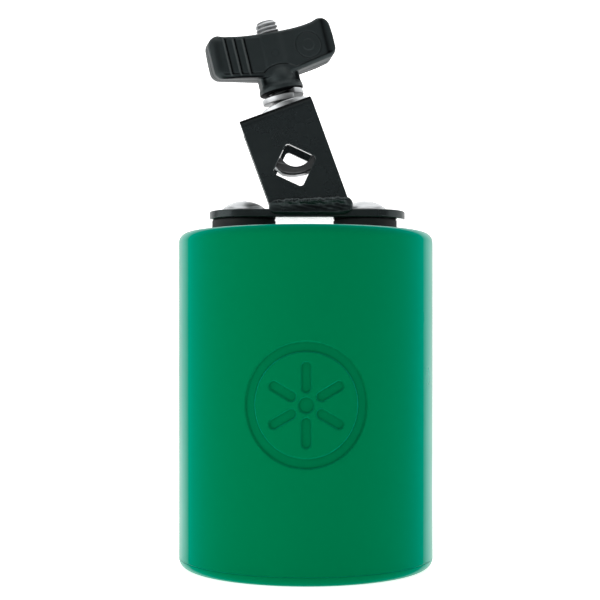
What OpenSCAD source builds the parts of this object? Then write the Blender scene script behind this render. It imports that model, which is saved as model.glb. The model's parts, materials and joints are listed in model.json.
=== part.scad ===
// Mountable cylinder shaker: a closed can of loose shot, hung on rubber pads under a rod clamp.
// Millimetres. Origin at the centre of the can's bottom face, +Z up, front towards -Y.

/* [Can] */
// Outside diameter of the can
can_d = 88.9; // [80:0.1:100]
// Height of the can without the pads
can_h = 116.1; // [100:0.1:130]
// Thickness of the side wall
wall_t = 2.5; // [2:0.1:4]
// Thickness of the top face
top_t = 3.5; // [3:0.1:5]
// Radius of the outer top and bottom edges
edge_r = 3.3; // [2:0.1:3.4]
// Outside diameter of the sunk medallion ring
medal_d = 40.6; // [30:0.1:50]
// Width of the medallion ring
medal_band = 3.3; // [2:0.1:5]
// Depth of the medallion ring
medal_depth = 0.6; // [0.3:0.1:1]
// Height of the medallion centre
medal_z = 58.2; // [45:0.1:70]

/* [Fill] */
// Diameter of one shot ball
shot_d = 4.5; // [3:0.1:5]
// Number of shot balls
shot_count = 150; // [20:1:160]

/* [Mounting] */
// Distance between the two mounting screws
screw_span = 42.6; // [40:0.1:48]
// Diameter of the rubber pads
pad_d = 22.5; // [18:0.1:24]
// Shift of both posts to the right
post_shift = -0.45; // [-0.5:0.05:0.5]
// Height of the rubber pads between can and plate
pad_h = 5; // [3:0.1:7]
// Length of the base plate over its round ends
plate_l = 68.8; // [66:0.1:75]
// Shift of the base plate to the right
plate_shift = 0.5; // [-1:0.1:1]
// Depth of the base plate and of the clamp channel
plate_w = 24; // [22:0.1:28]
// Thickness of the base plate
plate_t = 2.8; // [2.5:0.1:4]
// Screw diameter, 1/4 inch
screw_d = 6.35; // [6:0.01:6.4]
// Diameter of the screw heads
head_d = 15.4; // [13:0.1:16]
// Height of the screw heads
head_h = 3.9; // [3:0.1:4.5]
// Length of the screws under their heads, 1 inch
screw_l = 25.4; // [22:0.1:28]

/* [Clamp channel] */
// Lean of the channel to the left
channel_lean = 20; // [15:0.5:25]
// Width of the channel
channel_w = 26.1; // [24:0.1:27]
// Outside height of the channel along its own axis
channel_h = 36.9; // [35:0.1:40]
// Thickness of the channel's sheet
channel_t = 2.5; // [2:0.1:3]
// Outside radius of the channel's bends
bend_r = 3; // [2.8:0.1:5]
// Where the channel's axis meets the plate
channel_x = 1.87; // [-3:0.01:3]
// Side of the diamond window
window_side = 11.4; // [10:0.1:12]
// Corner radius of the diamond window
window_r = 1.3; // [1:0.1:2]
// Height of the window's centre along the channel
window_z = 16.1; // [15:0.1:17]
// Window's centre beside the channel's axis
window_x = -0.35; // [-1:0.05:1]
// Where the bolt crosses the top of the channel
bolt_x = 4; // [3.8:0.05:4.2]

/* [Eye bolt] */
// Lean of the bolt to the left, as it hangs
bolt_lean = 13.35; // [12:0.05:15]
// Shank diameter, 5/16 inch
bolt_d = 7.94; // [7.8:0.01:8]
// Radius of the eye's bore
eye_bore_r = 5.7; // [5.5:0.1:5.8]
// Depth of the eye, front to back
eye_depth = 8.4; // [7:0.1:10]
// Eye centre below the knob
eye_drop = 21.25; // [21:0.05:22]
// Bolt tip above the bottom of the knob
tip_rise = 25.5; // [24:0.1:30]

/* [Knob] */
// Half span of the wings
wing_r = 22; // [20:0.1:24]
// Thickness of the wings, front to back
wing_t = 10; // [8:0.1:12]
// Shift of the wings from the hub
wing_shift = -0.5; // [-0.6:0.05:0]
// Turn of the knob about the bolt, as it hangs
knob_turn = 14; // [0:1:20]
// Height of the top edge beside the bolt
saddle_u = 20.6; // [20:0.1:23]
// Diameter of the threaded insert
insert_d = 9.2; // [9:0.1:9.4]
// Length of the threaded insert
insert_l = 10; // [8:0.5:11]

/* [Hidden] */
$fn = 96;
eps = 0.02;             // gap between two parts that only rest on each other
can_r = can_d / 2;
can_in_r = can_r - wall_t;
seam_z = 3.4;           // where the end cap meets the side wall
floor_z = 3;            // inside floor of the end cap
spigot_h = 9;           // ring of the end cap that stands inside the wall
spigot_t = 2;
grommet_hole_r = 8;     // holes in the can's top
grommet_foot_r = 10;    // rubber foot inside the can
grommet_foot_h = 3;
screw_r = screw_d / 2;
loose_r = screw_r + 0.25;   // clearance holes around the screws
nut_r = screw_r + 0.03;     // thread fit, drawn as a running fit
washer_in_t = 1.6;
washer_in_r = 9.5;
nut_af = 11.1;          // 7/16 inch across flats
nut_h = 5.6;
nylon_h = 1.6;
nylon_r = 4.6;
plate_z = can_h + pad_h;
plate_top = plate_z + plate_t;
foot_z = can_h - top_t - grommet_foot_h;
nut_z = foot_z - washer_in_t - nut_h;
shot_z = floor_z + 0.05 + shot_d / 2;
shot_pitch = 3.05;      // spread of the shot, one ball per step of the golden angle
golden = 137.508;

flat_t = 1.8;           // flat washer
flat_r = 8.3;
flat_bore_r = 4.4;
flat_x = 4;
top_hole_r = 5;
top_hole_x = 3.8;
lock_t = 1.9;           // lock washer's wire, which is also its rise over one turn
lock_r = 7.4;
lock_bore_r = 4.2;
lock_end = -60;         // angle of its lower end
lock_gap = 3;           // angle between its two ends
tilt = channel_lean - bolt_lean;
contact_r = lock_r * cos(lock_end);
stack = (flat_t + eps + contact_r * sin(tilt)) / cos(tilt) + 2 * lock_t;
knob_x = channel_x - channel_h * sin(channel_lean) + bolt_x * cos(channel_lean)
    - stack * sin(bolt_lean);
knob_z = plate_top + channel_h * cos(channel_lean) + bolt_x * sin(channel_lean)
    + stack * cos(bolt_lean);
eye_side_r = 9.4;       // eye's outside to the left, to the right and above
eye_low = 7.9;          // eye's outside below its centre, where it is flatter
eye_flat_r = 13;
hub_top = 11;           // where the hub's cone has sunk into the wings
insert_bore_r = bolt_d / 2 + 0.05;
knob_bore_r = bolt_d / 2 + 0.35;
collar_r = 7.7;
neck_r = 6.9;
collar_h = 4;
wing_corner_r = 3.3;
wing_end_rise = 1.8;    // rise of the top edge from the hub to the wing's corner
wing_sweep = 0.21;      // rise of the lower edge for each millimetre outwards
wing_root_u = 4.3;      // height where both lower edges would meet
groove_first = 10.7;
groove_pitch = 3.3;
groove_w = 0.9;
groove_depth = 0.5;

// Points of an arc around [cx, cy] from angle a0 to a1.
function arc(cx, cy, r, a0, a1, n = 10) =
    [for (i = [0:n]) let (a = a0 + (a1 - a0) * i / n) [cx + r * cos(a), cy + r * sin(a)]];

// Side of a post: -1 is left, 1 is right.
module at_post(side, z) {
    translate([side * screw_span / 2 + post_shift, 0, z]) children();
}

// Frame of the channel: z along the channel from the top of the plate.
module on_channel() {
    translate([channel_x, 0, plate_top]) rotate([0, -channel_lean, 0]) children();
}

// Frame of the bolt: z along the shank from the bottom of the knob.
module on_bolt() {
    translate([knob_x, 0, knob_z]) rotate([0, -bolt_lean, 0]) children();
}

// Flat ring standing on z = 0.
module ring(outer_r, inner_r, h) {
    difference() {
        cylinder(r = outer_r, h = h);
        translate([0, 0, -1]) cylinder(r = inner_r, h = h + 2);
    }
}

// ---- can ----

module shell() color([0, 0.45, 0.28]) difference() {
    rotate_extrude($fn = 180) polygon(concat(
        [[can_in_r, seam_z], [can_r, seam_z]],
        arc(can_r - edge_r, can_h - edge_r, edge_r, 0, 90),
        [[0, can_h], [0, can_h - top_t]],
        arc(can_in_r - 2, can_h - top_t - 2, 2, 90, 0, 6)));
    for (side = [-1, 1]) at_post(side, can_h - top_t - 1)
        cylinder(r = grommet_hole_r, h = top_t + 2);
    medallion_cut();
}

// Ring-shaped cut of even depth in the curved front.
module medallion_cut() {
    intersection() {
        translate([0, -can_r + 10, medal_z]) rotate([90, 0, 0])
            ring(medal_d / 2, medal_d / 2 - medal_band, 20);
        translate([0, 0, medal_z - medal_d]) ring(can_r + 5, can_r - medal_depth, 2 * medal_d);
    }
}

module end_cap() color([0, 0.42, 0.26]) rotate_extrude($fn = 180) polygon(concat(
    [[0, 0]],
    arc(can_r - edge_r, edge_r, edge_r, -90, 0),
    [[can_r, seam_z - eps], [can_in_r - eps, seam_z - eps],
     [can_in_r - eps, seam_z + spigot_h], [can_in_r - spigot_t, seam_z + spigot_h],
     [can_in_r - spigot_t, floor_z], [0, floor_z]]));

module shot() color([0.55, 0.56, 0.58]) for (i = [0:shot_count - 1])
    rotate([0, 0, i * golden]) translate([shot_pitch * sqrt(i + 0.5), 0, shot_z])
        sphere(d = shot_d, $fn = 24);

// ---- mounting ----

// One rubber pad with its neck through the can's top and its foot inside.
module isolator(side) color([0.07, 0.07, 0.08]) at_post(side, 0) rotate_extrude() polygon([
    [loose_r, foot_z], [grommet_foot_r - 0.8, foot_z], [grommet_foot_r, foot_z + 0.8],
    [grommet_foot_r, foot_z + grommet_foot_h - eps],
    [grommet_hole_r - eps, foot_z + grommet_foot_h - eps], [grommet_hole_r - eps, can_h + eps],
    [pad_d / 2, can_h + eps], [pad_d / 2, plate_z - eps], [loose_r, plate_z - eps]]);

module isolator_left() isolator(-1);
module isolator_right() isolator(1);

module base_plate() color([0.1, 0.11, 0.11]) difference() {
    translate([plate_shift, 0, plate_z]) linear_extrude(plate_t) polygon(concat(
        arc(plate_l / 2 - plate_w / 2, 0, plate_w / 2, -90, 90, 24),
        arc(plate_w / 2 - plate_l / 2, 0, plate_w / 2, 90, 270, 24)));
    for (side = [-1, 1]) at_post(side, plate_z - 1) cylinder(r = loose_r, h = plate_t + 2);
}

// Domed head with a cross recess on a plain shank.
module mounting_screw(side) color([0.72, 0.73, 0.74]) at_post(side, plate_top) difference() {
    dome_r = (head_d * head_d / 4 + (head_h - 0.7) * (head_h - 0.7)) / (2 * (head_h - 0.7));
    dome_a = asin(head_d / 2 / dome_r);
    rotate_extrude() polygon(concat(
        [[0, -screw_l], [screw_r - 0.8, -screw_l], [screw_r, 0.8 - screw_l], [screw_r, eps],
         [head_d / 2, eps]],
        arc(0, head_h - dome_r, dome_r, 90 - dome_a, 90)));
    for (a = [0, 90]) rotate([0, 0, 30 + a]) translate([-3.4, -0.7, head_h - 2.2])
        cube([6.8, 1.4, 3]);
}

module screw_left() mounting_screw(-1);
module screw_right() mounting_screw(1);

module inner_washer(side) color([0.7, 0.71, 0.72]) at_post(side, foot_z - washer_in_t)
    ring(washer_in_r, loose_r, washer_in_t - eps);

module inner_washer_left() inner_washer(-1);
module inner_washer_right() inner_washer(1);

// Hexagon nut with a round crown below that holds the nylon ring.
module lock_nut(side) color([0.72, 0.72, 0.7]) at_post(side, nut_z) difference() {
    union() {
        cylinder(d = nut_af / cos(30), h = nut_h - eps, $fn = 6);
        translate([0, 0, -nylon_h - 0.4]) cylinder(r = nylon_r + 0.6, h = nylon_h + 0.5);
    }
    translate([0, 0, -nylon_h - 1]) cylinder(r = nut_r, h = nut_h + nylon_h + 2);
    translate([0, 0, -nylon_h - 1]) cylinder(r = nylon_r + eps, h = nylon_h + 1 + eps);
}

module lock_nut_left() lock_nut(-1);
module lock_nut_right() lock_nut(1);

module nylon_ring(side) color([0.2, 0.35, 0.7]) at_post(side, nut_z - nylon_h)
    ring(nylon_r, nut_r, nylon_h);

module nylon_ring_left() nylon_ring(-1);
module nylon_ring_right() nylon_ring(1);

// ---- bracket ----

// Inverted U, cut level at the plate, with a diamond window through both legs.
module clamp_channel() color([0.11, 0.12, 0.12]) difference() {
    on_channel() difference() {
        translate([-channel_w / 2, 0, 0]) rotate([90, 0, 90]) linear_extrude(channel_w)
            polygon(concat(
                [[-plate_w / 2, -8]],
                arc(bend_r - plate_w / 2, channel_h - bend_r, bend_r, 180, 90, 6),
                arc(plate_w / 2 - bend_r, channel_h - bend_r, bend_r, 90, 0, 6),
                [[plate_w / 2, -8], [plate_w / 2 - channel_t, -8]],
                arc(plate_w / 2 - bend_r, channel_h - bend_r, bend_r - channel_t, 0, 90, 6),
                arc(bend_r - plate_w / 2, channel_h - bend_r, bend_r - channel_t, 90, 180, 6),
                [[channel_t - plate_w / 2, -8]]));
        translate([window_x, plate_w / 2 + 1, window_z]) rotate([90, 45, 0])
            linear_extrude(plate_w + 2) window_outline();
        translate([top_hole_x, 0, channel_h - channel_t - 2])
            cylinder(r = top_hole_r, h = channel_t + 4);
    }
    translate([-50, -50, plate_top - 30]) cube([100, 100, 30 + eps]);
}

// Square with round corners.
module window_outline() {
    c = window_side / 2 - window_r;
    polygon([for (q = [0:3]) each
        [for (p = arc(c, c, window_r, 0, 90, 5))
            [p[0] * cos(90 * q) - p[1] * sin(90 * q), p[0] * sin(90 * q) + p[1] * cos(90 * q)]]]);
}

// Bead of overlapping ripples along the joint of channel and plate, on the front (-1) or back (1).
module weld(side) color([0.1, 0.11, 0.11]) difference() {
    bead_r = 3.6;
    bead_out = 1.8;
    pitch = 2.28;
    count = 11;
    for (i = [0:count - 1])
        translate([channel_x - 0.2 + (i - (count - 1) / 2) * pitch,
            side * (plate_w / 2 + bead_out - bead_r), plate_top + 0.9]) sphere(r = bead_r, $fn = 32);
    translate([-50, side > 0 ? -50 : -plate_w / 2 - eps, plate_top - 20])
        cube([100, 50 + plate_w / 2 + eps, 40]);
}

module weld_front() weld(-1);
module weld_back() weld(1);

// ---- clamp ----

module flat_washer() color([0.72, 0.74, 0.75]) on_channel()
    translate([flat_x, 0, channel_h + eps]) ring(flat_r, flat_bore_r, flat_t - eps);

// Section of the spring washer's wire at the share s of its turn, from the lower end to the upper.
function lock_section(s) =
    let (a = lock_end - (360 - lock_gap) * s, z = (s - 2) * lock_t - eps * s)
    [for (c = [[lock_bore_r, 0], [lock_r, 0], [lock_r, lock_t], [lock_bore_r, lock_t]])
        [c[0] * cos(a), c[0] * sin(a), z + c[1]]];

// One turn of square wire that rises by its own thickness: a split spring washer at rest.
module lock_washer() color([0.75, 0.77, 0.78]) on_bolt() {
    n = 48;
    points = [for (i = [0:n]) each lock_section(i / n)];
    sides = [for (i = [0:n - 1]) for (j = [0:3]) let (a = 4 * i + j, b = 4 * i + (j + 1) % 4)
        each [[a, b, b + 4], [a, b + 4, a + 4]]];
    polyhedron(points, concat([[3, 2, 1, 0]], sides, [[4 * n, 4 * n + 1, 4 * n + 2, 4 * n + 3]]));
}

// Shank with a forged eye: the eye is wider than it is high.
module eye_bolt() color([0.7, 0.72, 0.73]) on_bolt() difference() {
    union() {
        translate([0, 0, 7 - eye_drop]) cylinder(d = bolt_d, h = tip_rise - 1.2 + eye_drop - 7);
        translate([0, 0, tip_rise - 1.2]) cylinder(d1 = bolt_d, d2 = bolt_d - 2.2, h = 1.2);
        translate([0, eye_depth / 2, -eye_drop]) rotate([90, 0, 0]) intersection() {
            cylinder(r = eye_side_r, h = eye_depth);
            translate([0, eye_flat_r - eye_low, 0]) cylinder(r = eye_flat_r, h = eye_depth);
        }
    }
    translate([0, 20, -eye_drop]) rotate([90, 0, 0]) cylinder(r = eye_bore_r, h = 40);
}

// ---- knob ----

function wing_low(r) = wing_root_u + wing_sweep * r;
function wing_high(r) = saddle_u + 0.3 * pow(r / 10, 3);

// Right half of the wing outline, from the bottom of the hub to the top of the hub.
function wing_half() = concat(
    [[0, wing_low(4)], [4, wing_low(4)]],
    arc(wing_r - wing_corner_r, wing_low(wing_r) + wing_corner_r, wing_corner_r, -78, 0, 6),
    arc(wing_r - wing_corner_r, saddle_u + wing_end_rise - wing_corner_r, wing_corner_r,
        0, 100, 8),
    [for (i = [8:-1:0]) let (r = 2 * i) [r, wing_high(r)]]);

module wing_knob() color([0.09, 0.1, 0.1]) on_bolt() rotate([0, 0, knob_turn]) difference() {
    union() {
        translate([wing_shift, wing_t / 2, 0]) rotate([90, 0, 0]) linear_extrude(wing_t) {
            polygon(wing_half());
            mirror([1, 0]) polygon(wing_half());
        }
        rotate_extrude() polygon([[0, 0], [collar_r, 0], [collar_r - 0.1, 1.5],
            [neck_r, collar_h], [neck_r, collar_h + 0.6], [wing_t / 2 - 0.5, hub_top],
            [0, hub_top]]);
    }
    translate([0, 0, -1]) cylinder(r = knob_bore_r, h = saddle_u + 10);
    translate([0, 0, -1]) cylinder(d = insert_d + 2 * eps, h = insert_l + 1 + eps);
    for (turn = [0, 180]) rotate([0, 0, turn]) for (i = [0:2])
        translate([-groove_first - i * groove_pitch - groove_w / 2, -wing_t / 2 - 1, 0])
            cube([groove_w, 1 + groove_depth, 40]);
}

module knob_insert() color([0.5, 0.5, 0.52]) on_bolt()
    ring(insert_d / 2, insert_bore_r, insert_l);

shell();
end_cap();
shot();
isolator_left();
isolator_right();
base_plate();
clamp_channel();
weld_front();
weld_back();
screw_left();
screw_right();
inner_washer_left();
inner_washer_right();
lock_nut_left();
lock_nut_right();
nylon_ring_left();
nylon_ring_right();
flat_washer();
lock_washer();
eye_bolt();
wing_knob();
knob_insert();
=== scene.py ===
import json
import math

import bpy
import numpy as np
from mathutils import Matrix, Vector
from mathutils.geometry import delaunay_2d_cdt


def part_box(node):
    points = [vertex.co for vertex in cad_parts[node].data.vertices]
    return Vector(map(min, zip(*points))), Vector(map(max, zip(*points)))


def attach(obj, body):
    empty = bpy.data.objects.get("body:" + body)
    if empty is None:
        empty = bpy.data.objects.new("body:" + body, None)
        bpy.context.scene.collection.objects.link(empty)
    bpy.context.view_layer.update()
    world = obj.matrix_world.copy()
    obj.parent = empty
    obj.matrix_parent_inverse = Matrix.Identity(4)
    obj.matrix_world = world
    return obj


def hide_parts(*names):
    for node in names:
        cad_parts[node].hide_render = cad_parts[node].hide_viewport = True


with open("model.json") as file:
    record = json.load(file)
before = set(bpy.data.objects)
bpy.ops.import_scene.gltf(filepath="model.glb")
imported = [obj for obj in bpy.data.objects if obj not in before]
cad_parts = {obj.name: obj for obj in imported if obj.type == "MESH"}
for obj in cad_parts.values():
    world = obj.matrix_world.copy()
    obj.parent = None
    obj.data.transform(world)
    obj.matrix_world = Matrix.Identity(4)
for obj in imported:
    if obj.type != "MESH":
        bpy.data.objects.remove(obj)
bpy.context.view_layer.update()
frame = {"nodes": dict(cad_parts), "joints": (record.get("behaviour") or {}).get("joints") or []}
MM = 0.001


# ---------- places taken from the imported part, in millimetres ----------

def box_mm(node):
    low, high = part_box(node)
    return np.array(low) / MM, np.array(high) / MM


def joint(name):
    return next(j for j in frame["joints"] if j["name"] == name)


SHELL_LOW, SHELL_HIGH = box_mm("shell")
CAP_HIGH = box_mm("end_cap")[1]
PLATE_LOW, PLATE_HIGH = box_mm("base_plate")
CHANNEL_HIGH = box_mm("clamp_channel")[1]
CAN_R = SHELL_HIGH[0]
CAN_TOP = SHELL_HIGH[2]
PLATE_TOP = PLATE_HIGH[2]

CHANNEL_LEAN = math.radians(20)
CHANNEL_W, CHANNEL_H, CHANNEL_T, BEND_R = 26.1, 36.9, 2.5, 3.0
CHANNEL_FOOT = np.array([CHANNEL_HIGH[0] - CHANNEL_W / 2 / math.cos(CHANNEL_LEAN), 0, PLATE_TOP])

BOLT_FOOT = np.array(joint("knob_spin")["pos_m"]) / MM
BOLT_AXIS = np.array(joint("knob_spin")["axis"])
BOLT_SIDE = np.array([BOLT_AXIS[2], 0, -BOLT_AXIS[0]])
BOLT_TIP = (box_mm("eye_bolt")[1][2] - BOLT_FOOT[2] - 2.87 * BOLT_SIDE[2]) / BOLT_AXIS[2]
EYE_DROP = 21.25


def on_frame(points, origin, side, axis):
    """Points of a leaning frame as points of the row frame."""
    points = np.asarray(points, float)
    return (origin + points[:, :1] * side + points[:, 1:2] * np.array([0, 1, 0])
            + points[:, 2:] * axis)


def on_bolt(points):
    return on_frame(points, BOLT_FOOT, BOLT_SIDE, BOLT_AXIS)


def on_channel(points):
    s, c = math.sin(CHANNEL_LEAN), math.cos(CHANNEL_LEAN)
    return on_frame(points, CHANNEL_FOOT, np.array([c, 0, s]), np.array([-s, 0, c]))


# ---------- mesh building ----------

def smooth_step(x, low, high):
    t = np.clip((x - low) / (high - low), 0, 1)
    return t * t * (3 - 2 * t)


def bell(x, width):
    return np.exp(-(x / width) ** 2)


def rounded(points, radii, steps=6, closed=True):
    """Polyline whose corners are replaced by arcs, one radius per corner."""
    points = [np.array(p, float) for p in points]
    out = []
    for i, p in enumerate(points):
        radius = radii[i] if hasattr(radii, "__len__") else radii
        if radius <= 0 or (not closed and i in (0, len(points) - 1)):
            out.append(p)
            continue
        u = points[i - 1] - p
        v = points[(i + 1) % len(points)] - p
        u, v = u / np.linalg.norm(u), v / np.linalg.norm(v)
        half = math.acos(np.clip(u @ v, -1, 1)) / 2
        centre = p + (u + v) / np.linalg.norm(u + v) * radius / math.sin(half)
        a = p + u * radius / math.tan(half) - centre
        b = p + v * radius / math.tan(half) - centre
        sweep = math.pi - 2 * half
        for k in range(steps + 1):
            t = k / steps
            out.append(centre + (a * math.sin((1 - t) * sweep) + b * math.sin(t * sweep))
                       / math.sin(sweep))
    return np.array(out)


def area_normals(verts, faces):
    """Vertex normals weighted by face area, so that flat faces stay flat beside round edges."""
    out = np.zeros_like(verts)
    for size in sorted({len(f) for f in faces}):
        rows = np.array([f for f in faces if len(f) == size])
        p = verts[rows]
        n = sum(np.cross(p[:, k] - p[:, 0], p[:, k + 1] - p[:, 0]) for k in range(1, size - 1))
        for k in range(size):
            np.add.at(out, rows[:, k], n)
    return out


def piece(name, verts, faces, material, body, slot, nodes, normals=None, mask=None):
    """A mesh in the row frame that rides on a body and stands for CAD nodes."""
    verts = np.asarray(verts, float)
    mesh = bpy.data.meshes.new(name)
    mesh.from_pydata((verts * MM).tolist(), [], [tuple(int(i) for i in f) for f in faces])
    if normals is None:
        normals = area_normals(verts, faces)
    length = np.linalg.norm(normals, axis=1, keepdims=True)
    normals = normals / np.maximum(length, 1e-12)
    mesh.polygons.foreach_set("use_smooth", [True] * len(mesh.polygons))
    mesh.normals_split_custom_set_from_vertices(normals.tolist())
    # Per-vertex painted shading: above 0 painted shade, below 0 painted highlight.
    layer = mesh.attributes.new("painted_shading", "FLOAT", "POINT")
    layer.data.foreach_set("value", np.zeros(len(verts), np.float32) if mask is None
                           else np.asarray(mask, np.float32))
    mesh.materials.append(material)
    obj = bpy.data.objects.new(name, mesh)
    bpy.context.scene.collection.objects.link(obj)
    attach(obj, body)
    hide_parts(*nodes)
    return obj


def strip_faces(rows, columns, wrap=True, offset=0):
    """Quads of a grid of rows x columns vertices, closed across the columns when wrap."""
    r = np.arange(rows - 1)[:, None] * columns
    c = np.arange(columns if wrap else columns - 1)[None, :]
    n = (c + 1) % columns
    quads = np.stack([r + c, r + n, r + n + columns, r + c + columns], -1).reshape(-1, 4)
    return (quads + offset).tolist()


def lathe(profile, columns=128):
    """Solid of revolution. A profile that starts and ends on the axis is capped by its end rings."""
    profile = np.asarray(profile, float)
    a = np.linspace(0, 2 * math.pi, columns, endpoint=False)
    verts = np.stack([profile[:, :1] * np.cos(a), profile[:, :1] * np.sin(a),
                      np.repeat(profile[:, 1:], columns, 1)], -1).reshape(-1, 3)
    return verts, strip_faces(len(profile), columns)


def capped(faces, columns, rows):
    """Adds the two end faces of a lathe or sweep."""
    return faces + [list(range(columns))[::-1],
                    list(range((rows - 1) * columns, rows * columns))]


def ring_lathe(section, columns=128):
    """Ring with a closed section given counter-clockwise in (radius, height)."""
    verts, faces = lathe(section, columns)
    last = (len(section) - 1) * columns
    c = np.arange(columns)
    n = (c + 1) % columns
    return verts, faces + np.stack([last + c, last + n, n, c], -1).tolist()


def joined(*parts):
    verts, faces, count = [], [], 0
    for v, f in parts:
        verts.append(np.asarray(v, float))
        faces += [[i + count for i in face] for face in f]
        count += len(v)
    return np.concatenate(verts), faces


def inside_loops(points, tris, loops):
    """The triangles that lie inside the first loop and outside the others."""
    middle = np.array([[sum(points[i][k] for i in t) / 3 for k in (0, 1)] for t in tris])
    keep = loop_distance(middle[:, 0], middle[:, 1], loops[0]) < 0
    for loop in loops[1:]:
        keep &= loop_distance(middle[:, 0], middle[:, 1], loop) > 0
    return [t for t, k in zip(tris, keep) if k]


def subdivided(loop, step):
    """The same outline with no side longer than the step."""
    out = []
    for a, b in zip(loop, np.roll(loop, -1, 0)):
        n = max(1, math.ceil(np.linalg.norm(b - a) / step))
        out += [a + (b - a) * k / n for k in range(n)]
    return np.array(out)


def sheet(loops, thickness, edge, seeds=(), steps=4):
    """Flat sheet with holes and round edges, with exact normals. Loops keep the material on
    their left. Vertices are (u, v, w), w from 0 on the outside to the thickness."""
    verts, norms, faces, flat = [], [], [], []
    rows = [(edge * (1 - math.sin(a)), edge * (1 - math.cos(a)), math.sin(a), -math.cos(a))
            for a in np.linspace(0, math.pi / 2, steps + 1)]
    rows += [(inset, thickness - w, out, -up) for inset, w, out, up in rows[::-1]]
    for loop in loops:
        side = np.roll(loop, -1, 0) - loop
        left = np.stack([-side[:, 1], side[:, 0]], 1)
        left /= np.linalg.norm(left, axis=1, keepdims=True)
        mitre = left + np.roll(left, 1, 0)
        outward = -mitre / np.linalg.norm(mitre, axis=1, keepdims=True)
        mitre /= (mitre * mitre).sum(1, keepdims=True) / 2
        start, n = len(verts), len(loop)
        for inset, w, out, up in rows:
            verts += [(*(p + m * inset), w) for p, m in zip(loop, mitre)]
            norms += [(*(o * out), up) for o in outward]
        faces += strip_faces(len(rows), n, offset=start)
        flat.append((start, n))
    for w, row in ((0.0, 0), (thickness, len(rows) - 1)):
        ids, edges, inset_loops = [], [], []
        for start, n in flat:
            edges += [(len(ids) + k, len(ids) + (k + 1) % n) for k in range(n)]
            ids += [start + row * n + k for k in range(n)]
            inset_loops.append(np.array([verts[i][:2] for i in ids[-n:]]))
        points = [Vector(verts[i][:2]) for i in ids] + [Vector(s) for s in seeds]
        out, _, tris, origin, _, _ = delaunay_2d_cdt(points, edges, [], 1, 1e-6)
        tris = inside_loops(out, tris, inset_loops)
        lookup = []
        for p, source in zip(out, origin):
            known = [s for s in source if s < len(ids)]
            if known:
                lookup.append(ids[known[0]])
            else:
                lookup.append(len(verts))
                verts.append((p.x, p.y, w))
                norms.append((0, 0, 1 if w > 0 else -1))
        faces += [[lookup[i] for i in (t if w > 0 else t[::-1])] for t in tris]
    return np.array(verts, float), faces, np.array(norms, float)


def surface_net(field, low, high, step):
    """Closed quad mesh around field < 0, drawn onto the surface, with its exact normals."""
    axes = [np.arange(a, b + step, step) for a, b in zip(low, high)]
    x, y, z = np.meshgrid(*axes, indexing="ij", sparse=True)
    value = np.broadcast_to(field(x, y, z), [len(a) for a in axes])
    inside = value < 0
    corners = [(i, j, k) for i in (0, 1) for j in (0, 1) for k in (0, 1)]
    shape = np.array(inside.shape) - 1
    count = sum(inside[i:i + shape[0], j:j + shape[1], k:k + shape[2]].astype(int)
                for i, j, k in corners)
    active = (count > 0) & (count < 8)
    index = np.full(active.shape, -1)
    cells = np.argwhere(active)
    index[tuple(cells.T)] = np.arange(len(cells))
    total, hits = np.zeros((len(cells), 3)), np.zeros((len(cells), 1))
    for corner in corners:
        for axis in range(3):
            if corner[axis]:
                continue
            far = list(corner)
            far[axis] = 1
            a = value[tuple((cells + corner).T)]
            b = value[tuple((cells + far).T)]
            cross = (a < 0) != (b < 0)
            t = np.where(cross, a / np.where(cross, a - b, 1), 0)[:, None]
            point = np.array(corner) + t * (np.array(far) - np.array(corner))
            total += point * cross[:, None]
            hits += cross[:, None]
    verts = np.array(low) + (cells + total / hits) * step
    faces = []
    for axis in range(3):
        one, two = np.eye(3, dtype=int)[(axis + 1) % 3], np.eye(3, dtype=int)[(axis + 2) % 3]
        near = inside[tuple(slice(0, -1) if k == axis else slice(None) for k in range(3))]
        far = inside[tuple(slice(1, None) if k == axis else slice(None) for k in range(3))]
        for first in (True, False):
            at = np.argwhere((near == first) & (far != first))
            quad = np.stack([index[tuple((at - s).T)] for s in
                             (one * 0, one, one + two, two)], -1)
            faces += (quad if first else quad[:, ::-1]).tolist()
    verts, normals = onto_surface(field, verts, step)
    return verts, faces, normals


def onto_surface(field, verts, step):
    h = step * 0.2
    for turn in range(4):
        x, y, z = verts.T
        value = field(x, y, z)
        grad = np.stack([(field(x + h, y, z) - field(x - h, y, z)),
                         (field(x, y + h, z) - field(x, y - h, z)),
                         (field(x, y, z + h) - field(x, y, z - h))], -1) / (2 * h)
        size = (grad * grad).sum(1, keepdims=True)
        if turn < 3:
            move = value[:, None] * grad / np.maximum(size, 0.05)
            verts = verts - np.clip(move, -step * 0.5, step * 0.5)
    return verts, grad


def loop_distance(x, z, loop):
    """Signed distance to a closed outline, negative inside."""
    best, inside = None, False
    for a, b in zip(loop, np.roll(loop, -1, 0)):
        e = b - a
        t = np.clip(((x - a[0]) * e[0] + (z - a[1]) * e[1]) / (e @ e), 0, 1)
        d = (x - a[0] - t * e[0]) ** 2 + (z - a[1] - t * e[1]) ** 2
        best = d if best is None else np.minimum(best, d)
        if a[1] != b[1]:
            hit = ((a[1] > z) != (b[1] > z)) & (x < (b[0] - a[0]) * (z - a[1]) / (b[1] - a[1]) + a[0])
            inside = inside ^ hit
    return np.where(inside, -1, 1) * np.sqrt(best)


def round_join(a, b, r):
    """Intersection of two distances with an edge rounded by r."""
    u, v = np.maximum(a + r, 0), np.maximum(b + r, 0)
    return np.minimum(np.maximum(a, b), -r) + np.sqrt(u * u + v * v)


def melt(a, b, r):
    """Union of two distances with a fillet of about r."""
    h = np.clip(0.5 + 0.5 * (b - a) / r, 0, 1)
    return b + (a - b) * h - r * h * (1 - h)


# ---------- materials ----------

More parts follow.
